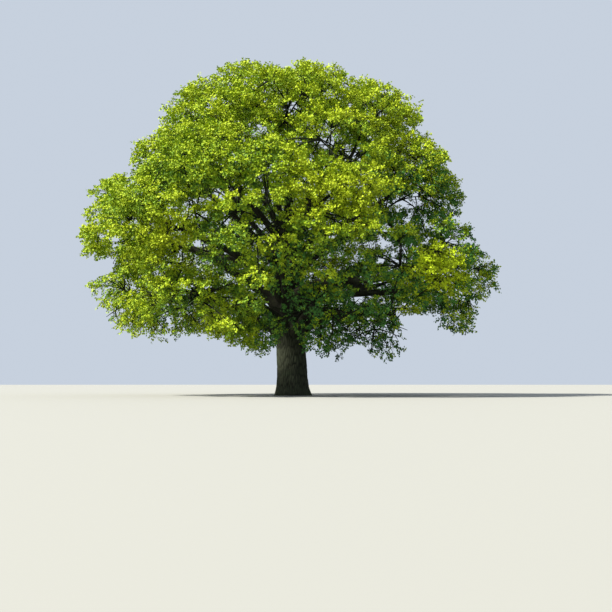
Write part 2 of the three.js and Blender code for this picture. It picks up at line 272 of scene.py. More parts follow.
# Gaps that one sees through
GAPS = np.array([
    (6.9, 10.95, 2.2, 0.8),
    (3.5, 13.85, 0.7, 0.5),
    (-0.05, 16.6, 0.8, 0.4),
    (1.8, 14.4, 0.5, 0.4),
    (4.65, 14.9, 0.4, 0.2),
    (-5.1, 10.3, 0.65, 0.3),
    (-5.3, 8.5, 0.6, 0.4),
    (-3.3, 8.1, 0.3, 0.2),
    (-10.3, 7.7, 0.7, 0.22),
    (-10.0, 8.9, 0.5, 0.25),
    (-2.2, 9.5, 0.4, 0.45),
    (4.8, 8.6, 0.8, 0.3),
    (5.9, 7.6, 0.6, 0.4),
    (3.4, 6.5, 0.5, 0.3),
    (3.9, 5.6, 0.5, 0.35),
    (-0.95, 5.2, 0.28, 0.8),
    (-3.65, 18.0, 0.3, 0.2),
])
GAP_RIM = (0.6, 1.2)  # where foliage in front of a gap starts, and where it is full
GAP_VEIL = (0.0, 0.65)  # the same for the foliage behind it
# Patches that are thin all the way through, then the share of the shoots missing there
THIN_PATCHES = np.array([
    (-4.4, 8.2, 1.6, 1.0, 0.35),
    (-5.5, 10.3, 0.9, 0.5, 0.4),
    (5.2, 8.2, 1.6, 0.9, 0.25),
    (4.1, 5.9, 1.0, 0.6, 0.3),
    (-9.6, 6.0, 1.2, 0.6, 0.4),
    (-1.2, 9.8, 0.8, 0.5, 0.4),
    (9.5, 8.9, 0.7, 0.7, 0.7),
])
THIN_RIM = ((2 / 3, 4 / 3), (1, 0))  # from how far off its middle it fades, and to where
# Lobes that bulge from the crown, then the side: -1 is the front and 1 the back
LOBES = np.array([
    (-5.6, 13.9, 3.6, 1.6, -1),
    (-1.6, 13.4, 2.2, 1.3, -1),
    (1.8, 12.4, 3.0, 1.0, -1),
    (4.3, 11.9, 1.6, 0.8, -1),
    (3.0, 9.6, 1.9, 0.8, -1),
    (2.3, 8.3, 2.6, 1.3, 1),
    (5.0, 17.0, 1.6, 0.8, 1),
    (8.4, 7.6, 1.9, 1.5, -1),
    (-8.4, 11.4, 1.6, 1.0, -1),
    (-2.0, 3.4, 0.8, 0.5, -1),
    (-2.2, 9.8, 1.2, 1.6, 1),
    (2.2, 3.4, 1.0, 0.5, -1),
    (5.6, 9.4, 2.2, 0.5, 1),
    (3.5, 10.6, 1.2, 0.5, -1),
    (2.0, 8.9, 1.0, 0.6, -1),
    (-2.0, 6.8, 1.0, 0.6, -1),
    (-3.9, 9.0, 1.2, 0.5, -1),
    (-4.2, 3.9, 0.9, 0.5, -1),
    (-9.0, 7.2, 1.0, 0.8, 1),
    (5.8, 14.3, 1.2, 1.2, 1),
])
# Hollows in the front, then how far out their foliage may be
FRONT_HOLLOWS = np.array([
    (-1.6, 9.3, 1.0, 2.0, 0.45),
    (0.0, 4.6, 1.1, 1.6, 0.35),
    (2.4, 5.5, 1.7, 0.8, 0.75),
    (-1.2, 15.9, 1.7, 0.8, 0.75),
    (2.2, 14.9, 2.0, 0.8, 0.72),
    (-5.4, 15.9, 1.6, 0.35, 0.88),
    (-6.4, 4.7, 1.2, 0.9, 0.75),
])
HOLLOW_LEFT = 0.3  # the share of the shoots that stay further out than that

# Leaf colours, lit and shaded copies of one green from the palest to the deepest: partly the
# real paler sun leaves and deeper shade leaves, and partly painted light and painted shade.
# Then an olive one, and a cool one whose bluer green is painted shade
LEAF_TINTS = [
    ("leaf_sunlit", (168, 184, 27), 0.65),
    ("leaf_bright", (154, 174, 24), 0.65),
    ("leaf_fresh", (136, 161, 23), 0.66),
    ("leaf_mid", (109, 141, 28), 0.66),
    ("leaf_deep", (78, 115, 33), 0.68),
    ("leaf_shade", (47, 86, 36), 0.68),
    ("leaf_olive", (164, 184, 17), 0.65),
    ("leaf_cool", (65, 112, 44), 0.68),
]
HALF_LIT, SHADE, OLIVE, COOL = 2, 5, 6, 7  # places in that list
LEAF_GLOSS = 0.22
# How many tints down the list sprays are, as painted light and painted shade that partly also
# follow the real sun and shade leaves. Each pair of pairs says from where to where, then the
# tints at both.
SUNLIT_TINTS = 0.78  # outside, in a spray that faces sideways
UPWARD_PAINTED_LIGHT = -1.1  # more in one that faces up: a painted highlight on a billow's top, painted shade beneath
HEIGHT_PAINTED_LIGHT = -0.02  # more for each metre up: paler higher up, partly real sun leaves and partly painted light
INSIDE_PAINTED_SHADE = ((0.05, 1.05), (3.7, 0))  # how far out: deeper inside, partly the real shade leaves and partly painted shade in hollows
TOP_PAINTED_SHADE = ((15, 17), (0, 0.6))  # up: painted shade, deeper at the very top
RIGHT_PAINTED_SHADE = ((4, 9.6), (0, 0.98))  # across: painted shade on the right, the side away from the sun
RIGHT_SHADE_HEIGHTS = ((11.1, 14.1), (1.3, 0.3))  # up, and by what those are multiplied
LOW_PAINTED_SHADE = ((2.5, 7.5), (2.0, 0))  # up: painted shade low down under the crown, partly also the real shade leaves there
LOW_SHADE_MIDDLE = 2.0
LOW_SHADE_WIDTH = ((0.9, 9.9), (1, 0))  # across from it, and by what those are multiplied
SPRAY_TINT_STRAY = 0.35
LEAF_TINT_STRAY = 0.6
# Painted shade and painted light: sprays deeper or paler than their neighbours, as the front
# sees them: the middle across and up, the radius, and by how many tints
PAINTED_SHADING_PATCHES = np.array([
    (-9.7, 12.2, 2.3, 0.8),
    (-11.0, 6.6, 1.6, 1.0),
    (-5.8, 13.7, 2.3, 1.0),
    (-2.0, 13.6, 1.7, 1.2),
    (2.7, 14.3, 1.8, 0.7),
    (2.6, 11.3, 2.4, -1.0),
    (-6.8, 9.0, 1.4, -1.2),
    (-4.1, 9.0, 1.6, 1.6),
    (-1.8, 11.0, 1.5, 0.5),
    (1.7, 6.7, 1.4, -0.9),
    (1.6, 9.1, 1.8, 1.1),
    (3.9, 8.7, 2.2, 0.9),
    (9.6, 9.0, 1.5, 0.6),
    (-0.3, 5.0, 1.7, 1.0),
    (-6.4, 4.6, 1.4, 1.4),
    (-4.4, 4.6, 1.2, -0.7),
    (5.0, 4.9, 1.6, 0.5),
    (8.6, 5.2, 3.0, -0.9),
])
PAINTED_SHADING_RIM = ((0.5, 1.5), (1, 0))  # where a patch fades, in its radius squared
OLIVE_PATCHES = np.array([(8.6, 7.5, 1.3)])  # the middle across and up and the radius, as above, but without the tints
OLIVE_RIM = ((5 / 6, 5 / 4), (1, 0))
# The cool green is painted shade: the blue cast of shade on the crown's right and low down
COOL_MOST = 0.6  # the share of the sprays that are cool, where both of a pair are full
COOL_RIGHT = (2.5, 6.5)  # across
COOL_RIGHT_HEIGHTS = (14.5, 12.0)
COOL_LOW = (-2.0, 0.5)  # across
COOL_LOW_HEIGHTS = (8.0, 5.0)

TRUNK_SIDES = 184
TRUNK_LEVELS = np.concatenate([np.linspace(0, 4.4, 72), np.linspace(4.5, TRUNK_TOP, 20)])
TRUNK_COLUMNS = 46  # of the bark's pattern, round the trunk
TRUNK_CELL = 0.55  # how high one cell of it is
TRUNK_RELIEF = 0.042
TRUNK_RELIEF_SCALE = (0.3, 1.1)  # least and most of it, as the trunk grows thinner
TRUNK_RELIEF_LEVEL = 0.6  # what lies at the trunk's own radius
TRUNK_SEED = 11
SWELL = 0.03  # three low swellings round the trunk, which turn as they rise
SWELLS = 3
SWELL_TURN = 1.7
SWELL_HEIGHT = 2.4
SWELL_SPREAD = 1.8
BOUGH_SIDES = 20
BOUGH_RINGS = 24
BOUGH_COLUMNS = 7
BOUGH_CELLS = 12  # along it
BOUGH_RELIEF = 0.08  # of its radius
BOUGH_RELIEF_LEVEL = 0.5
BOUGH_KNOTS = 0.03
BOUGH_SEED = 500
KNOT_SEED = 400
TIER_SEEDS = 20
FOOT_WIDENING = 0.55  # of a bough where it meets the trunk's side
FOOT_LENGTH = 0.35
RIDGE_SHARE = 0.55  # how much the relief counts in the bark's colour
CELL_MIDDLES = (0.1, 0.9)  # where the middle of a cell can be in it
FURROW = 0.42  # how wide a furrow is, in cells
SWAY = 0.45  # of the ridges from side to side as they run along, in cells
SWAY_PACE = 1.3
SWAY_START = 2.1
FINE_SWAY = 0.3
FINE_SWAY_PACE = 2.9
FINE_SWAY_TURN = 0.5  # from ridge to ridge

FLOOR_RADIUS = 400
FLOOR_SIDES = 96


def random_from(seed):
    """A stream of numbers from 0 to 1 that is the same each time for a seed."""
    state = seed & UINT32

    def draw():
        nonlocal state
        state = (state + 0x6D2B79F5) & UINT32
        t = ((state ^ (state >> 15)) * (1 | state)) & UINT32
        t = ((t + (((t ^ (t >> 7)) * (61 | t)) & UINT32)) & UINT32) ^ t
        return ((t ^ (t >> 14)) & UINT32) / 4294967296

    return draw


def either(random, most):
    """A draw from -most to most."""
    return (2 * random() - 1) * most


def mix(a, b, share):
    """A share of the way from a to b."""
    return a + (b - a) * share


def ramp(values, start, end):
    """0 at start, 1 at end and level beyond them."""
    return np.clip((values - start) / (end - start), 0, 1)


def unit(vectors):
    """Vectors of length 1."""
    return vectors / np.maximum(np.linalg.norm(vectors, axis=-1, keepdims=True), 1e-9)


def square_to(along, angle):
    """Directions square to others, turned round them by angles."""
    across = np.cross(UP, along)
    flat = np.linalg.norm(across, axis=-1, keepdims=True) < 1e-3
    across = unit(np.where(flat, np.array([1.0, 0.0, 0.0]), across))
    over = unit(np.cross(along, across))
    angle = np.asarray(angle)[..., None]
    return across * np.cos(angle) + over * np.sin(angle)


def on_curve(controls, t):
    """Points and directions at t on Bezier curves: controls (n, k, 3) and t (n, m)."""
    level = controls[:, None, :, :]
    share = t[:, :, None, None]
    while level.shape[2] > 2:
        level = mix(level[:, :, :-1], level[:, :, 1:], share)
    start, end = level[:, :, 0], level[:, :, 1]
    return mix(start, end, share[..., 0]), unit(end - start)


def trunk_middle(z):
    """Points on the trunk's leaning axis at heights z."""
    z = np.asarray(z, float)
    return LEAN * ((z / TRUNK_TOP) ** 2)[..., None] + UP * z[..., None]


def trunk_radius(z):
    """The trunk's radius at heights z, without its buttresses."""
    z = np.asarray(z, float)
    low = mix(TRUNK_RADIUS, FORK_RADIUS, z / FORK_HEIGHT) + FLARE * np.exp(-z / FLARE_HEIGHT)
    high = mix(FORK_RADIUS, TRUNK_TIP_RADIUS, ramp(z, FORK_HEIGHT, TRUNK_TOP) ** TAPER)
    return np.where(z < FORK_HEIGHT, low, high)


@dataclass
class Mass:
    """A mass of foliage on the tip of a limb, with the twigs that carry its billows."""

    name: str
    out: np.ndarray
    centre: np.ndarray
    size: np.ndarray
    hang: float
    limb: np.ndarray  # the control points of the bough that carries it
    stem: np.ndarray
    stem_radius: float
    twigs: np.ndarray


def slope(out, degrees):
    """The way out at a slope."""
    return out * math.cos(math.radians(degrees)) + UP * math.sin(math.radians(degrees))


def stem_and_twigs(centre, out, size, start, direction, count, seed):
    """The control points of a mass's stem, and of the twigs that leave it for tips spread
    over the mass."""
    end = centre + out * STEM_END[0] * size[0] + UP * STEM_END[1] * size[2]
    middle = start + direction * STEM_AHEAD * np.linalg.norm(end - start)
    stem = np.array([start, middle, end])
    random = random_from(seed)
    turn = random() * 2 * math.pi
    across = np.cross(UP, out)
    twigs = []
    for k in range(count):
        outwards = 1 - ((k + 0.5) / count) * TWIG_BACK
        around = math.sqrt(1 - outwards ** 2)
        angle = k * GOLDEN_ANGLE + turn
        reach = TWIG_REACH + either(random, TWIG_REACH_STRAY)
        tip = (centre + out * outwards * size[0] * reach
               + across * around * math.cos(angle) * size[1] * reach
               + UP * around * math.sin(angle) * size[2] * reach)
        fork = mix(*TWIG_FORKS, (k + 0.5) / count) + either(random, TWIG_FORK_STRAY)
        foot = on_curve(stem[None], np.array([[fork]]))[0][0, 0]
        bend = (foot + tip) / 2 + UP * TWIG_LIFT * np.linalg.norm(tip - foot)
        twigs.append([foot, bend, tip])
    return stem, np.array(twigs)


def mass_of(tier, tier_index, index):
    """A bough with its mass. Its seed, its place and its turns are the source's."""
    random = random_from(MASS_SEEDS * (tier_index + 1) + index)
    stray = 0 if index == 0 else either(random, BOUGH_TURN)
    azimuth = math.radians(tier.turn + 360 * index / tier.count + stray)
    rightness = (1 + math.cos(azimuth)) / 2
    out = np.array([math.cos(azimuth), math.sin(azimuth), 0.0])
    height = mix(*tier.high, rightness) + either(random, BOUGH_RISE)
    centre = out * mix(*tier.out, rightness) + UP * height
    wander = [either(random, BOUGH_WANDER), either(random, BOUGH_WANDER)]
    size = np.array(tier.size)

    enter = slope(out, tier.enter)
    inwards = MASS_ENTRY * math.hypot(size[0] * math.cos(math.radians(tier.enter)),
                                      size[2] * math.sin(math.radians(tier.enter)))
    start = trunk_middle(tier.leave[index % 2])
    end = centre - enter * inwards
    span = np.linalg.norm(end - start)
    across = np.cross(UP, out)
    leaving = start + slope(out, tier.climb) * BOUGH_HANDLES[0] * span + across * wander[0]
    arriving = end - enter * BOUGH_HANDLES[1] * span + across * wander[1]
    limb = np.array([start, leaving, arriving, end])
    direction = unit(end - arriving)
    stem, twigs = stem_and_twigs(centre, out, size, end, direction, tier.twigs,
                                 TWIG_SEEDS * (tier_index + 1) + index)
    return Mass(f"{tier.name}_{index + 1}", out, centre, size, tier.hang, limb, stem,
                bough_radius(tier, 1), twigs)


def bough_radius(tier, t):
    """The radius of a tier's boughs at t, with the collar at the foot."""
    return mix(*tier.bough, t) * (1 + BOUGH_COLLAR * np.exp(-t / BOUGH_COLLAR_LENGTH))


def top_mass():
    """The mass on the trunk's tip."""
    out = np.array([1.0, 0.0, 0.0])
    start = trunk_middle(TRUNK_TOP)
    stem, twigs = stem_and_twigs(TOP_CENTRE, out, TOP_SIZE, start, UP, TOP_TWIGS, TOP_SEED)
    return Mass("top", out, TOP_CENTRE, TOP_SIZE, TOP_HANG, None, stem, TRUNK_TIP_RADIUS,
                twigs)


def tubes(controls, radii, sides):
    """Tapering limbs along Bezier curves, as points and faces. radii has the radius of
    each ring, the same for all the limbs."""
    count, rings = len(controls), len(radii)
    t = np.broadcast_to(np.linspace(0, 1, rings), (count, rings))
    middle, along = on_curve(controls, t)
    angles = np.arange(sides) * 2 * math.pi / sides
    around = square_to(along[:, :, None, :], np.broadcast_to(angles, (count, rings, sides)))
    points = middle[:, :, None, :] + around * radii[:, None, None]
    numbers = np.arange(count * rings * sides).reshape(count, rings, sides)
    beside = np.roll(numbers, -1, axis=2)
    walls = np.stack([numbers[:, :-1], beside[:, :-1], beside[:, 1:], numbers[:, 1:]], axis=-1)
    return points.reshape(-1, 3), [walls.reshape(-1, 4), numbers[:, -1]]


def spikes(feet, tips, radius):
    """Straight shoots of three faces that taper to a point."""
    way = unit(tips - feet)
    angles = np.arange(3) * 2 * math.pi / 3
    around = square_to(way[:, None, :], np.broadcast_to(angles, (len(feet), 3)))
    base = feet[:, None] + around * radius
    points = np.concatenate([base, tips[:, None]], axis=1)
    numbers = np.arange(len(feet))[:, None, None] * 4
    faces = numbers + np.array([(0, 1, 3), (1, 2, 3), (2, 0, 3)])
    return points.reshape(-1, 3), [faces.reshape(-1, 3)]


def mesh_piece(name, points, faces, materials, looks=None, smooth=True):
    """A mesh object from arrays. faces is a list of arrays, one for each number of
    corners, and looks says which material each face has."""
    mesh = bpy.data.meshes.new(name)
    mesh.vertices.add(len(points))
    mesh.vertices.foreach_set("co", points.astype(np.float32).ravel())
    corners = np.concatenate([group.ravel() for group in faces]).astype(np.int32)
    sizes = np.concatenate([np.full(len(group), group.shape[1]) for group in faces])
    mesh.loops.add(len(corners))
    mesh.loops.foreach_set("vertex_index", corners)
    mesh.polygons.add(len(sizes))
    starts = np.concatenate([[0], np.cumsum(sizes)[:-1]]).astype(np.int32)
    mesh.polygons.foreach_set("loop_start", starts)
    mesh.polygons.foreach_set("use_smooth", np.full(len(sizes), smooth))
    for material in materials:
        mesh.materials.append(material)
    if looks is not None:
        mesh.polygons.foreach_set("material_index", looks.astype(np.int32))
    mesh.update(calc_edges=True)
    mesh.validate()
    piece = bpy.data.objects.new(name, mesh)
    bpy.context.scene.collection.objects.link(piece)
    return piece


def joined(parts):
    """The points and faces of several (points, faces) as one."""
    points = np.concatenate([part[0] for part in parts])
    starts = np.cumsum([0] + [len(part[0]) for part in parts])
    faces = [group + start for part, start in zip(parts, starts) for group in part[1]]
    return points, faces


def new_material(name):
    """A material, its nodes, its links and its shader."""
    material = bpy.data.materials.new(name)
    material.use_nodes = True
    nodes = material.node_tree.nodes
    return material, nodes, material.node_tree.links, nodes["Principled BSDF"]


def linear(red, green, blue):
    """An sRGB colour given from 0 to 255, as the shader's sockets take it."""
    def channel(value):
        value /= 255
        return value / 12.92 if value < 0.04045 else ((value + 0.055) / 1.055) ** 2.4
    return (channel(red), channel(green), channel(blue), 1.0)


def set_inputs(node, values):
    """Set a node's sockets by their names or numbers."""
    for socket, value in values.items():
        node.inputs[socket].default_value = value
    return node


def leaf_material(name, colour, roughness):
    """A leaf: one of the tree's greens, with a soft gloss."""
    material, _, _, shader = new_material(name)
    set_inputs(shader, {"Base Color": linear(*colour), "Roughness": roughness,
                        "Specular IOR Level": LEAF_GLOSS})
    return material


def bark_material(name, furrow, ridge, grain, lichen):
    """Ridged bark: dark in the furrows and paler on the ridges, with fine grain along
    the limb and dull patches of lichen."""
    material, nodes, links, shader = new_material(name)
    set_inputs(shader, {"Roughness": 0.92, "Specular IOR Level": 0.2})
    place = nodes.new("ShaderNodeTexCoord").outputs["Object"]
    stretch = set_inputs(nodes.new("ShaderNodeMapping"), {"Scale": (1, 1, 0.22)})
    links.new(place, stretch.inputs["Vector"])
    cracks = set_inputs(nodes.new("ShaderNodeTexNoise"),
                        {"Scale": grain, "Detail": 7, "Roughness": 0.62})
    links.new(stretch.outputs["Vector"], cracks.inputs["Vector"])
    height = nodes.new("ShaderNodeAttribute")
    height.attribute_name = "ridge"
    both = set_inputs(nodes.new("ShaderNodeMath"), {1: RIDGE_SHARE})
    both.operation = "MULTIPLY_ADD"
    links.new(height.outputs["Fac"], both.inputs[0])
    links.new(cracks.outputs["Fac"], both.inputs[2])
    tones = nodes.new("ShaderNodeValToRGB")
    dark, pale = tones.color_ramp.elements
    dark.position = 0.38
    dark.color = linear(*furrow)
    pale.position = 0.98
    pale.color = linear(*ridge)
    links.new(both.outputs["Value"], tones.inputs["Fac"])
    patches = set_inputs(nodes.new("ShaderNodeTexNoise"), {"Scale": 1.6, "Detail": 5})
    links.new(place, patches.inputs["Vector"])
    cover = set_inputs(nodes.new("ShaderNodeMapRange"),
                       {"From Min": 0.52, "From Max": 0.7, "To Max": 0.6})
    links.new(patches.outputs["Fac"], cover.inputs["Value"])
    colour = nodes.new("ShaderNodeMix")
    colour.data_type = "RGBA"
    bare, grown = [socket for socket in colour.inputs if socket.type == "RGBA"]
    grown.default_value = linear(*lichen)
    links.new(cover.outputs["Result"], colour.inputs["Factor"])
    links.new(tones.outputs["Color"], bare)
    result = next(socket for socket in colour.outputs if socket.type == "RGBA")
    links.new(result, shader.inputs["Base Color"])
    bump = set_inputs(nodes.new("ShaderNodeBump"), {"Strength": 0.8, "Distance": 0.03})
    links.new(cracks.outputs["Fac"], bump.inputs["Height"])
    links.new(bump.outputs["Normal"], shader.inputs["Normal"])
    return material


def ridges(around, along, columns, seed):
    """The relief of interlacing ridges, 0 in a furrow to 1 on a ridge. around and along
    count cells of the pattern, and around closes on itself after columns."""
    rng = np.random.default_rng(seed)
    rows = int(np.ceil(along.max())) + 4  # with some to spare at both ends
    stray = rng.uniform(*CELL_MIDDLES, (columns, rows, 2))
    sway = (SWAY * np.sin(SWAY_PACE * along + SWAY_START)
            + FINE_SWAY * np.sin(FINE_SWAY_PACE * along + around * FINE_SWAY_TURN))
    around = around + sway
    column = np.floor(around).astype(int)
    row = np.floor(along).astype(int)
    first, second = np.full((2,) + around.shape, np.inf)
    for step in range(-1, 2):
        for rise in range(-1, 2):
            cell = stray[(column + step) % columns, np.clip(row + rise + 1, 0, rows - 1)]
            away = np.hypot(column + step + cell[..., 0] - around,
                            row + rise + cell[..., 1] - along)
            second = np.minimum(second, np.maximum(first, away))
            first = np.minimum(first, away)
    share = np.clip((second - first) / FURROW, 0, 1)
    return share * share * (3 - 2 * share)


def mark_ridges(piece, values):
    """Keep the relief on a piece's points, for its material."""
    attribute = piece.data.attributes.new("ridge", "FLOAT", "POINT")
    attribute.data.foreach_set("value", values.astype(np.float32).ravel())


def build_trunk(material):
    """The trunk, with furrowed bark and five buttresses."""
    angles = np.arange(TRUNK_SIDES) * 2 * math.pi / TRUNK_SIDES
    z, angle = np.meshgrid(TRUNK_LEVELS, angles, indexing="ij")
    relief = ridges(angle / (2 * math.pi) * TRUNK_COLUMNS, z / TRUNK_CELL, TRUNK_COLUMNS,
                    TRUNK_SEED)
    radius = trunk_radius(z) + ROOT_DEPTH * np.exp(-z / FLARE_HEIGHT) * np.cos(ROOTS * angle)
    scale = TRUNK_RELIEF * np.clip(radius / TRUNK_RADIUS, *TRUNK_RELIEF_SCALE)
    swell = SWELL * np.sin(SWELLS * angle + SWELL_TURN * z)
    swell = swell * np.exp(-((z - SWELL_HEIGHT) / SWELL_SPREAD) ** 2)
    radius = radius + swell + (relief - TRUNK_RELIEF_LEVEL) * scale
    out = np.stack([np.cos(angle), np.sin(angle), np.zeros_like(angle)], axis=-1)
    points = trunk_middle(z) + out * radius[..., None]
    numbers = np.arange(z.size).reshape(z.shape)
    beside = np.roll(numbers, -1, axis=1)
    walls = np.stack([numbers[:-1], beside[:-1], beside[1:], numbers[1:]], axis=-1)
    ends = np.stack([numbers[0, ::-1], numbers[-1]])
    piece = mesh_piece("trunk_bark", points.reshape(-1, 3), [walls.reshape(-1, 4), ends],
                       [material])
    mark_ridges(piece, relief)
    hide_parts("trunk")
    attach(piece, "root")


def bough_with_bark(mass, tier, seed):
    """The points and faces of a bough, with a foot that widens into the trunk, and its
    relief."""
    t = np.linspace(0, 1, BOUGH_RINGS)
    middle = on_curve(mass.limb[None], t[None])[0][0]
    off_axis = (middle - trunk_middle(middle[:, 2]))[:, :2]
    clear = np.hypot(*off_axis.T) - trunk_radius(middle[:, 2])
    widening = FOOT_WIDENING * np.exp(-np.clip(clear, 0, None) / FOOT_LENGTH)
    radii = bough_radius(tier, t) * (1 + widening)
    points, faces = tubes(mass.limb[None], radii, BOUGH_SIDES)
    along, around = np.meshgrid(t * BOUGH_CELLS,
                                np.arange(BOUGH_SIDES) / BOUGH_SIDES * BOUGH_COLUMNS,
                                indexing="ij")
    relief = ridges(around, along, BOUGH_COLUMNS, BOUGH_SEED + seed)
    knots = np.random.default_rng(KNOT_SEED + seed).normal(0, BOUGH_KNOTS, relief.shape)
    growth = (relief - BOUGH_RELIEF_LEVEL + knots).ravel()[:, None] * BOUGH_RELIEF
    middle = np.repeat(middle, BOUGH_SIDES, axis=0)
    return (points + (points - middle) * growth, faces), relief.ravel()


def build_boughs(masses, material):
    """The boughs, joined into one piece."""
    by_name = {mass.name: mass for mass in masses}
    parts = []
    reliefs = []
    for tier_index, tier in enumerate(TIERS):
        for index in range(tier.count):
            mass = by_name[f"{tier.name}_{index + 1}"]
            part, relief = bough_with_bark(mass, tier, TIER_SEEDS * tier_index + index)
            parts.append(part)
            reliefs.append(relief)
    points, faces = joined(parts)
    piece = mesh_piece("boughs_bark", points, faces, [material])
    mark_ridges(piece, np.concatenate(reliefs))
    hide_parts(*[f"bough_{m.name}" for m in masses if m.limb is not None])
    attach(piece, "root")


def as_seen(points):
    """Points with x and z moved to where the front sees them at the trunk."""
    share = EYE[1] / (EYE[1] - points[:, 1])
    return np.stack([mix(EYE[0], points[:, 0], share), points[:, 1],
                     mix(EYE[2], points[:, 2], share)], axis=1)


def away_from(features, points):
    """How far points are from the middle of each feature as the front sees them: 0 there
    and 1 at its rim."""
    x, _, z = as_seen(points).T[..., None]
    return np.hypot((x - features[:, 0]) / features[:, 2], (z - features[:, 1]) / features[:, 3])


def outside_gaps(points, chance=0.5):
    """Which places keep foliage: hardly any in front of a gap, where it makes a hollow,
    and a thin veil behind it. A smaller chance lets them be nearer to its middle."""
    in_front = points[:, 1] < FRONT_DEPTH
    least = np.where(in_front, mix(*GAP_RIM, chance), mix(*GAP_VEIL, chance))
    return away_from(GAPS, points).min(axis=1) > least


def is_hollow(points):
    """Which places lie at the front of a hollow."""
    too_far = crown_share(points)[:, None] > FRONT_HOLLOWS[:, 4]
    in_hollow = (away_from(FRONT_HOLLOWS, points) < 1) & too_far
    return in_hollow.any(axis=1) & (points[:, 1] < 0)


def lace(points):
    """The share of the shoots that places keep at the crown's lacy rim and underside."""
    x, _, z = points.T
    rim = np.interp(x, *LACE.T) * ramp(z, *LACE_HEIGHTS) * ramp(crown_share(points), *LACE_RIM)
    under = np.interp(x, *UNDER.T) * ramp(z, *UNDER_HEIGHTS)
    return 1 - np.maximum(rim, under)


def thinned(points):
    """The share of the shoots that places keep in the thin patches."""
    fading = np.interp(away_from(THIN_PATCHES, points), *THIN_RIM)
    return 1 - (THIN_PATCHES[:, 4] * fading).max(axis=1)


def reach_on(side, angle):
    """The crown's reach at angles above the level, on one side, from its middle."""
    out, up = np.array(side[::-1]).T
    up = up - CROWN_MIDDLE[2]
    return np.interp(angle, np.arctan2(up, out), np.hypot(out, up))


def crown_reach(ways):
    """The crown's reach from its middle, along some ways."""
    level = np.maximum(np.hypot(ways[:, 0], ways[:, 1]), 1e-6)
    angle = np.arctan2(ways[:, 2], level)
    rightness = (1 + ways[:, 0] / level) / 2
    return mix(reach_on(LEFT_REACH, angle), reach_on(RIGHT_REACH, angle), rightness)


def crown_share(points):
    """How far out points are, in space and as the front sees them: 1 where the crown
    ends."""
    shares = []
    for ways, slack in [(points - CROWN_MIDDLE, CROWN_SLACK),
                        ((as_seen(points) - CROWN_MIDDLE) * (1, 0, 1), 1)]:
        shares.append(np.linalg.norm(ways, axis=1) / crown_reach(ways) / slack)
    return np.maximum(*shares)


def finer_tips(mass, masses, rng):
    """Places spread over a mass, which keep to its space."""
    axes = np.stack([mass.out, np.cross(UP, mass.out), UP])
    k = np.arange(FINER_TWIGS)
    outwards = 1 - (k + 0.5) / FINER_TWIGS * FINER_BACK
    around = np.sqrt(1 - outwards ** 2)
    angle = k * GOLDEN_ANGLE + rng.uniform(0, 2 * math.pi)
    way = np.stack([outwards, around * np.cos(angle), around * np.sin(angle)], axis=1)
    reach = rng.uniform(*FINER_REACH, (FINER_TWIGS, 1))
    flat_below = np.where(way[:, 2:] < 0, (1, 1, FINER_BELOW), (1, 1, 1))
    tips = mass.centre + (way * mass.size * flat_below * reach) @ axes
    others = [np.linalg.norm((tips - other.centre) / other.size, axis=1)
              for other in masses if other is not mass]
    return tips[reach[:, 0] < np.min(others, axis=0) + FINER_OVERLAP]


def crown_tips(rng):
    """Places spread over the whole crown, just inside its reach."""
    k = np.arange(CROWN_TWIGS)
    up = 1 - (k + 0.5) / CROWN_TWIGS * CROWN_DOWN
    level = np.sqrt(1 - up ** 2)
    angle = k * GOLDEN_ANGLE
    ways = np.stack([level * np.cos(angle), level * np.sin(angle), up], axis=1)
    sunk = BILLOW_INSIDE * np.linalg.norm(ways * BILLOW, axis=1)
    valley = VALLEY * np.abs(ways[:, 1]) * rng.uniform(VALLEY_LEAST, 1, CROWN_TWIGS)
    sunk = sunk + valley
    tips = CROWN_MIDDLE + ways * (crown_reach(ways) - sunk)[:, None]
    return rng.permutation(tips)


def lobe_tips():
    """Places spread over the outside of each lobe."""
    k = np.arange(LOBE_TWIGS)
    away = np.sqrt((k + 0.5) / LOBE_TWIGS)
    angle = k * GOLDEN_ANGLE
    tips = []
    for x, z, across, up, side in LOBES:
        seen = np.stack([x + across * away * np.cos(angle), np.zeros(LOBE_TWIGS),
                         z + up * away * np.sin(angle)], axis=1)
        steps = LOBE_SIGHT if side < 0 else LOBE_SIGHT[::-1]
        for place in seen:
            line = EYE + (place - EYE) * steps[:, None]
            inside = crown_share(line) < LOBE_SHARE
            if inside.any():
                tips.append(line[inside.argmax()])
    return np.array(tips)


def sprig_tips(mass, rng):
    """Places beside the outer part of a bough."""
    t = mix(*SPRIG_SPAN, (np.arange(SPRIGS) + rng.uniform(0, 1, SPRIGS)) / SPRIGS)
    feet, ahead = on_curve(mass.limb[None], t[None])
    swing = rng.uniform(-SPRIG_SWING, SPRIG_SWING, SPRIGS)
    side = square_to(ahead[0], math.pi / 2 + swing)
    length = rng.uniform(*SPRIG_LENGTH, (SPRIGS, 1))
    return feet[0] + unit(ahead[0] * SPRIG_AHEAD + side) * length


def pulled_in(tips):
    """Places drawn back so that a billow round each stays within the crown's reach."""
    ways = tips - CROWN_MIDDLE
    length = np.linalg.norm(ways, axis=1)
    half = np.linalg.norm(unit(ways) * BILLOW, axis=1)
    most = (1 - BILLOW_INSIDE * half / length) / crown_share(tips)
    return CROWN_MIDDLE + ways * np.minimum(most, 1)[:, None]


def spread(tips, taken, apart):
    """The places that keep their distance from those taken and from each other."""
    kept = []
    for tip in tips:
        if np.linalg.norm((taken - tip) / BILLOW, axis=1).min() > apart:
            kept.append(tip)
            taken = np.vstack([taken, tip])
    return kept


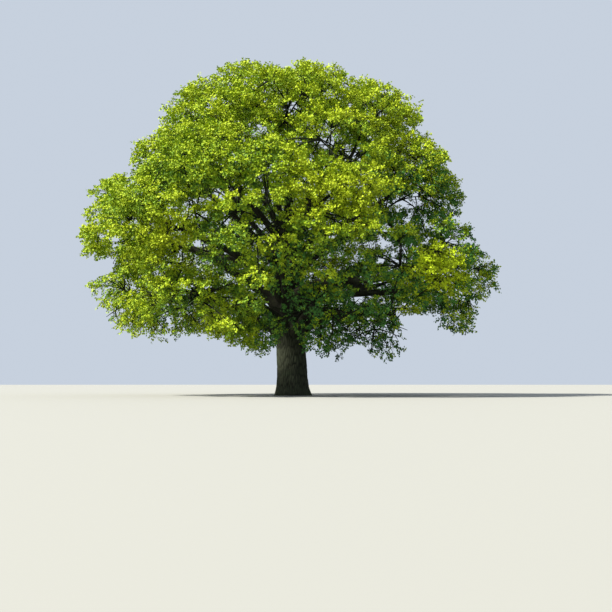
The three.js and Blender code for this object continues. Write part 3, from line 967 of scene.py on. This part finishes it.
def wood_points(masses):
    """Points along every limb that a finer twig can leave."""
    points = []
    for mass in masses:
        points.append(on_curve(mass.stem[None], STEM_FEET[None])[0][0])
        places = np.broadcast_to(TWIG_FEET, (len(mass.twigs), len(TWIG_FEET)))
        points.append(on_curve(mass.twigs, places)[0].reshape(-1, 3))
        if mass.limb is not None:
            points.append(on_curve(mass.limb[None], BOUGH_FEET[None])[0][0])
    return np.concatenate(points)


def nearest(places, others):
    """Which of the others is nearest to each place."""
    return np.linalg.norm(places[:, None] - others[None], axis=2).argmin(axis=1)


def grow(masses):
    """The twigs of each mass, the source's and then the finer ones, and the middles of
    their billows."""
    rng = np.random.default_rng(GROWTH_SEED)
    wood = wood_points(masses)
    centres = np.array([mass.centre for mass in masses])
    twigs = np.concatenate([mass.twigs for mass in masses])
    owners = np.concatenate([np.full(len(mass.twigs), n) for n, mass in enumerate(masses)])
    middles = pulled_in(twigs[:, 2])
    finer = np.concatenate([finer_tips(mass, masses, rng) for mass in masses])
    sprigs = np.concatenate([sprig_tips(mass, rng) for mass in masses if mass.limb is not None])
    for tips, apart in [(lobe_tips(), LOBE_APART), (finer, FINER_APART),
                        (crown_tips(rng), CROWN_APART), (sprigs, SPRIG_APART)]:
        tips = np.array(spread(pulled_in(tips), middles, apart))
        feet = wood[nearest(tips, wood)]
        length = np.linalg.norm(tips - feet, axis=1, keepdims=True)
        bends = (feet + tips) / 2 + UP * TWIG_LIFT * length
        inside = crown_share(bends) < 1
        feet, bends, tips = feet[inside], bends[inside], tips[inside]
        twigs = np.concatenate([twigs, np.stack([feet, bends, tips], axis=1)])
        middles = np.concatenate([middles, tips])
        owners = np.concatenate([owners, nearest(tips, centres)])
    return [(twigs[owners == n], middles[owners == n]) for n in range(len(masses))]


def twiglets_on(twigs, middles, hang, rng):
    """Control points of twiglets, from each twig to tips spread over its billow, with the
    way outwards at each tip."""
    n = len(twigs)
    k = np.arange(TWIGLETS)
    facing = unit(middles - CROWN_MIDDLE)
    forwards = np.broadcast_to(1 - (k + 0.5) / TWIGLETS * TWIGLET_BACK, (n, TWIGLETS))
    around = np.sqrt(1 - forwards ** 2)
    angle = k * GOLDEN_ANGLE + rng.uniform(0, 2 * math.pi, (n, 1))
    side = square_to(np.broadcast_to(facing[:, None], (n, TWIGLETS, 3)), angle)
    way = facing[:, None] * forwards[..., None] + side * around[..., None]
    way = unit(way + rng.normal(0, WAY_STRAY, way.shape))
    reach = rng.uniform(*TWIGLET_REACH, (n, TWIGLETS, 1))
    reach = reach * rng.uniform(*TWIGLET_VARIES, (n, 1, 1))
    flat = mix(LAYER_FLATNESS, 1, ramp(middles[:, 2], *LAYER_HEIGHTS))
    half_widths = np.stack([np.ones(n), np.ones(n), flat], axis=1)[:, None] * BILLOW
    tips = middles[:, None] + way * half_widths * reach - UP * TWIGLET_SAG * max(hang, 0)
    stray = rng.uniform(-TWIGLET_FORK_STRAY, TWIGLET_FORK_STRAY, (n, TWIGLETS))
    forks = mix(*TWIGLET_FORKS, (k + 0.5) / TWIGLETS) + stray
    feet = on_curve(twigs, np.clip(forks, 0, 1))[0]
    length = np.linalg.norm(tips - feet, axis=2, keepdims=True)
    bends = (feet + tips) / 2 + UP * (TWIGLET_LIFT + TWIGLET_ARCH * hang) * length
    bends = bends + rng.normal(0, TWIGLET_CROOK, bends.shape) * length
    return np.stack([feet, bends, tips], axis=2).reshape(-1, 3, 3), way.reshape(-1, 3)


def shoots_of(twiglets, outwards, hang, rng):
    """The feet and tips of shoots along twiglets, and which way their leaves face."""
    count = len(twiglets)
    k = np.arange(SHOOTS)
    place = (k + SHOOT_OFFSET) / (SHOOTS - 1 + SHOOT_OFFSET)
    t = mix(SHOOT_START, 1, place ** SHOOT_CROWDING)
    t = t + rng.uniform(-SHOOT_STRAY, SHOOT_STRAY, (count, SHOOTS))
    feet, ahead = on_curve(twiglets, np.minimum(t, 1))
    angle = k * GOLDEN_ANGLE + rng.uniform(0, 2 * math.pi, (count, 1))
    splay = np.linspace(*SHOOT_SPLAY, SHOOTS)[None, :, None]
    way = (ahead * SHOOT_AHEAD + square_to(ahead, angle) * splay
           + outwards[:, None] * SHOOT_OUTWARDS - UP * hang)
    way = unit((way + rng.normal(0, WAY_STRAY, way.shape)) * FLATTEN)
    length = rng.uniform(*SHOOT_LENGTH, (count, SHOOTS, 1))
    tips = feet + way * length
    facing = outwards[:, None] * SPRAY_OUTWARDS + UP * SPRAY_UPWARDS
    facing = facing + rng.normal(0, SPRAY_STRAY, way.shape)
    return feet.reshape(-1, 3), tips.reshape(-1, 3), unit(facing).reshape(-1, 3)


def leaves_on(feet, tips, facing, rng):
    """Two loose ranks of leaves along each shoot, and which shoot each is on."""
    count = len(feet)
    way = unit(tips - feet)
    side = unit(np.cross(way, facing))
    face = np.cross(side, way)
    k = np.arange(LEAVES)
    t = mix(LEAF_START, 1, (k + rng.uniform(*LEAF_STEP, (count, LEAVES))) / LEAVES)
    rank = np.where(k % 2 == 0, 1.0, -1.0)
    rank[-1] = LAST_SPLAY
    lateral = side[:, None] * rank[None, :, None]
    along = way[:, None] * LEAF_AHEAD + lateral * LEAF_SPLAY - UP * LEAF_DROOP
    along = unit(along + rng.normal(0, LEAF_STRAY, (count, LEAVES, 3)))
    above = face[:, None] + rng.normal(0, LEAF_TILT, (count, LEAVES, 3))
    left = unit(np.cross(above, along))
    above = np.cross(along, left)
    length = LEAF_LENGTH * rng.uniform(*LEAF_VARIES, (count, LEAVES, 1))
    petiole = rng.uniform(*PETIOLE, (count, LEAVES, 1))
    root = feet[:, None] + (tips - feet)[:, None] * t[..., None] + along * petiole
    axes = np.stack([along, left, above], axis=2)
    points = root[:, :, None] + length[..., None] * (LEAF_CORNERS @ axes)
    shoot = np.repeat(np.arange(count), LEAVES)
    return points.reshape(-1, len(LEAF_CORNERS), 3), shoot


def patch_shares(patches, rim, places):
    """How much each round patch counts at some places, as the front sees them."""
    x, y, z = as_seen(places).T[..., None]
    away = np.hypot(x - patches[:, 0], z - patches[:, 1]) / patches[:, 2]
    return np.interp(away ** 2, *rim) * (y < FRONT_DEPTH)


def shade_of(places, upward, rng):
    """Which tint suits sprays: paler outside and high up, deeper inside and low down. This is
    painted light and painted shade, partly also the real paler sun leaves and deeper shade
    leaves.
    """
    x, _, z = places.T
    shade = SUNLIT_TINTS + UPWARD_PAINTED_LIGHT * upward + HEIGHT_PAINTED_LIGHT * z
    shade = shade + np.interp(crown_share(places), *INSIDE_PAINTED_SHADE) + np.interp(z, *TOP_PAINTED_SHADE)
    shade = shade + np.interp(x, *RIGHT_PAINTED_SHADE) * np.interp(z, *RIGHT_SHADE_HEIGHTS)
    shade = shade + np.interp(z, *LOW_PAINTED_SHADE) * np.interp(np.abs(x - LOW_SHADE_MIDDLE), *LOW_SHADE_WIDTH)
    shade = shade + rng.normal(0, SPRAY_TINT_STRAY, len(places))
    return shade + patch_shares(PAINTED_SHADING_PATCHES, PAINTED_SHADING_RIM, places) @ PAINTED_SHADING_PATCHES[:, 3]


def cool_shade_share(places):
    """How many sprays are a cool green, a painted blue cast of shade: on the right below the
    top, and low down round the trunk's right."""
    x, _, z = places.T
    right = ramp(x, *COOL_RIGHT) * ramp(z, *COOL_RIGHT_HEIGHTS)
    low = ramp(x, *COOL_LOW) * ramp(z, *COOL_LOW_HEIGHTS)
    return COOL_MOST * np.maximum(right, low)


def tints_for(places, upward, shoot, rng):
    """The tint of each leaf from the place of its shoot, and how far that faces up."""
    shade = shade_of(places, upward, rng)[shoot] + rng.normal(0, LEAF_TINT_STRAY, len(shoot))
    tint = np.clip(np.round(shade), 0, SHADE).astype(int)
    olive_share = patch_shares(OLIVE_PATCHES, OLIVE_RIM, places).max(axis=1)
    olive = (rng.random(len(places)) < olive_share)[shoot]
    # Cool sprays carry a painted blue cast of shade
    cool = (rng.random(len(places)) < cool_shade_share(places))[shoot]
    tint[cool & ~olive & (tint >= HALF_LIT) & (tint < SHADE)] = COOL
    tint[olive & (tint < SHADE)] = OLIVE
    return tint


def twiglets_kept(ends):
    """Which twiglets end outside the gaps and inside the crown."""
    most = np.where(ends[:, 2] < UNDER_HEIGHTS[0], UNDER_SHARE, 1)
    return outside_gaps(ends) & (ends[:, 2] < CEILING) & (crown_share(ends) < most)


def shoots_kept(tips, rng):
    """Which shoots end outside the gaps and hollows and inside the crown, thinned."""
    chance = rng.random((3, len(tips)))
    share = crown_share(tips)
    ragged = np.where(tips[:, 2] < RAGGED_TOP, RAGGED_BELOW, RAGGED)
    inside = (share < 1 + ragged * chance[1] ** 2) & (tips[:, 2] < CEILING)
    dense = chance[2] < np.interp(share, *INNER) * lace(tips) * thinned(tips)
    clear = ~is_hollow(tips) | (chance[1] < HOLLOW_LEFT)
    return outside_gaps(tips, chance[0]) & inside & dense & clear


def foliage_of(mass, twigs, middles, rng):
    """A mass's wood as parts to join, its leaves, and their tints."""
    thinning = np.linspace(0, 1, STEM_RINGS) ** STEM_TAPER
    stem_radii = mix(mass.stem_radius, STEM_TIP_RADIUS, thinning)
    twiglets, outwards = twiglets_on(twigs, middles, mass.hang, rng)
    carriers = np.repeat(np.arange(len(twigs)), TWIGLETS)
    kept = twiglets_kept(twiglets[:, 2])
    twiglets, outwards, carriers = twiglets[kept], outwards[kept], carriers[kept]
    feet, tips, facing = shoots_of(twiglets, outwards, mass.hang, rng)
    upward = np.repeat(outwards[:, 2], SHOOTS)
    kept = shoots_kept(tips, rng)
    leafy = kept.reshape(-1, SHOOTS).any(axis=1)
    feet, tips, facing, upward = feet[kept], tips[kept], facing[kept], upward[kept]
    wood = [tubes(mass.stem[None], stem_radii, STEM_SIDES),
            tubes(twigs[np.unique(carriers[leafy])], TWIG_RADII, TWIG_SIDES),
            tubes(twiglets[leafy], TWIGLET_RADII, TWIGLET_SIDES),
            spikes(feet, tips, SHOOT_RADIUS)]
    leaves, shoot = leaves_on(feet, tips, facing, rng)
    return wood, leaves, tints_for((feet + tips) / 2, upward, shoot, rng)


def build_foliage(masses, materials, wood_material):
    """Twigs, twiglets, shoots and leaves, joined by kind and group of masses."""
    growth = grow(masses)
    for number, (group, members) in enumerate(GROUPS.items()):
        rng = np.random.default_rng(number)
        wood = []
        leaves = []
        tints = []
        for mass, grown in zip(masses, growth):
            if mass.name in members:
                mass_wood, mass_leaves, mass_tints = foliage_of(mass, *grown, rng)
                wood += mass_wood
                leaves.append(mass_leaves)
                tints.append(mass_tints)
        twigs = mesh_piece(f"twigs_{group}", *joined(wood), [wood_material])
        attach(twigs, "root")
        points = np.concatenate(leaves)
        firsts = np.arange(len(points))[:, None, None] * len(LEAF_CORNERS)
        looks = np.repeat(np.concatenate(tints), len(LEAF_FACES))
        piece = mesh_piece(f"leaves_{group}", points.reshape(-1, 3),
                           [(firsts + LEAF_FACES).reshape(-1, 3)], materials, looks,
                           smooth=False)
        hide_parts(*[f"foliage_{name}" for name in members])
        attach(piece, "root")


def build_stage():
    """The floor, the light and the camera."""
    angles = np.arange(FLOOR_SIDES) * 2 * math.pi / FLOOR_SIDES
    rim = np.stack([np.cos(angles), np.sin(angles), np.zeros_like(angles)], axis=-1)
    material, _, _, shader = new_material("floor_plain")
    set_inputs(shader, {"Base Color": linear(146, 146, 141), "Roughness": 0.9})
    floor = mesh_piece("floor", rim * FLOOR_RADIUS, [np.arange(FLOOR_SIDES)[None]], [material])

    bpy.context.scene.view_settings.view_transform = "Standard"
    world = bpy.data.worlds.new("studio")
    world.use_nodes = True
    set_inputs(world.node_tree.nodes["Background"],
               {"Color": (0.78, 0.87, 1.0, 1), "Strength": 0.73})
    bpy.context.scene.world = world

    key = bpy.data.lights.new("key", "SUN")
    key.energy = 9.3
    key.angle = math.radians(6)
    key.color = (1.0, 0.96, 0.86)
    lamp = bpy.data.objects.new("key", key)
    lamp.rotation_euler = (math.radians(42), 0, math.radians(-68))
    bpy.context.scene.collection.objects.link(lamp)

    camera = bpy.data.objects.new("camera", bpy.data.cameras.new("camera"))
    camera.data.sensor_width = 36
    camera.data.lens = 61.9
    camera.data.clip_end = 1000
    camera.location = EYE
    camera.rotation_euler = (math.radians(90 + PITCH), 0, 0)
    bpy.context.scene.collection.objects.link(camera)
    bpy.context.scene.camera = camera


masses = [mass_of(tier, i, n) for i, tier in enumerate(TIERS) for n in range(tier.count)]
masses.append(top_mass())
trunk_bark = bark_material("trunk_bark", furrow=(24, 27, 19), ridge=(59, 63, 49), grain=9,
                           lichen=(60, 68, 50))
bough_bark = bark_material("bough_bark", furrow=(21, 22, 15), ridge=(45, 46, 34), grain=14,
                           lichen=(46, 54, 37))
twig_bark = bark_material("twig_bark", furrow=(17, 22, 11), ridge=(34, 41, 21), grain=20,
                          lichen=(40, 48, 28))
leaf_materials = [leaf_material(*tint) for tint in LEAF_TINTS]
build_trunk(trunk_bark)
build_boughs(masses, bough_bark)
build_foliage(masses, leaf_materials, twig_bark)
build_stage()

bpy.context.view_layer.update()
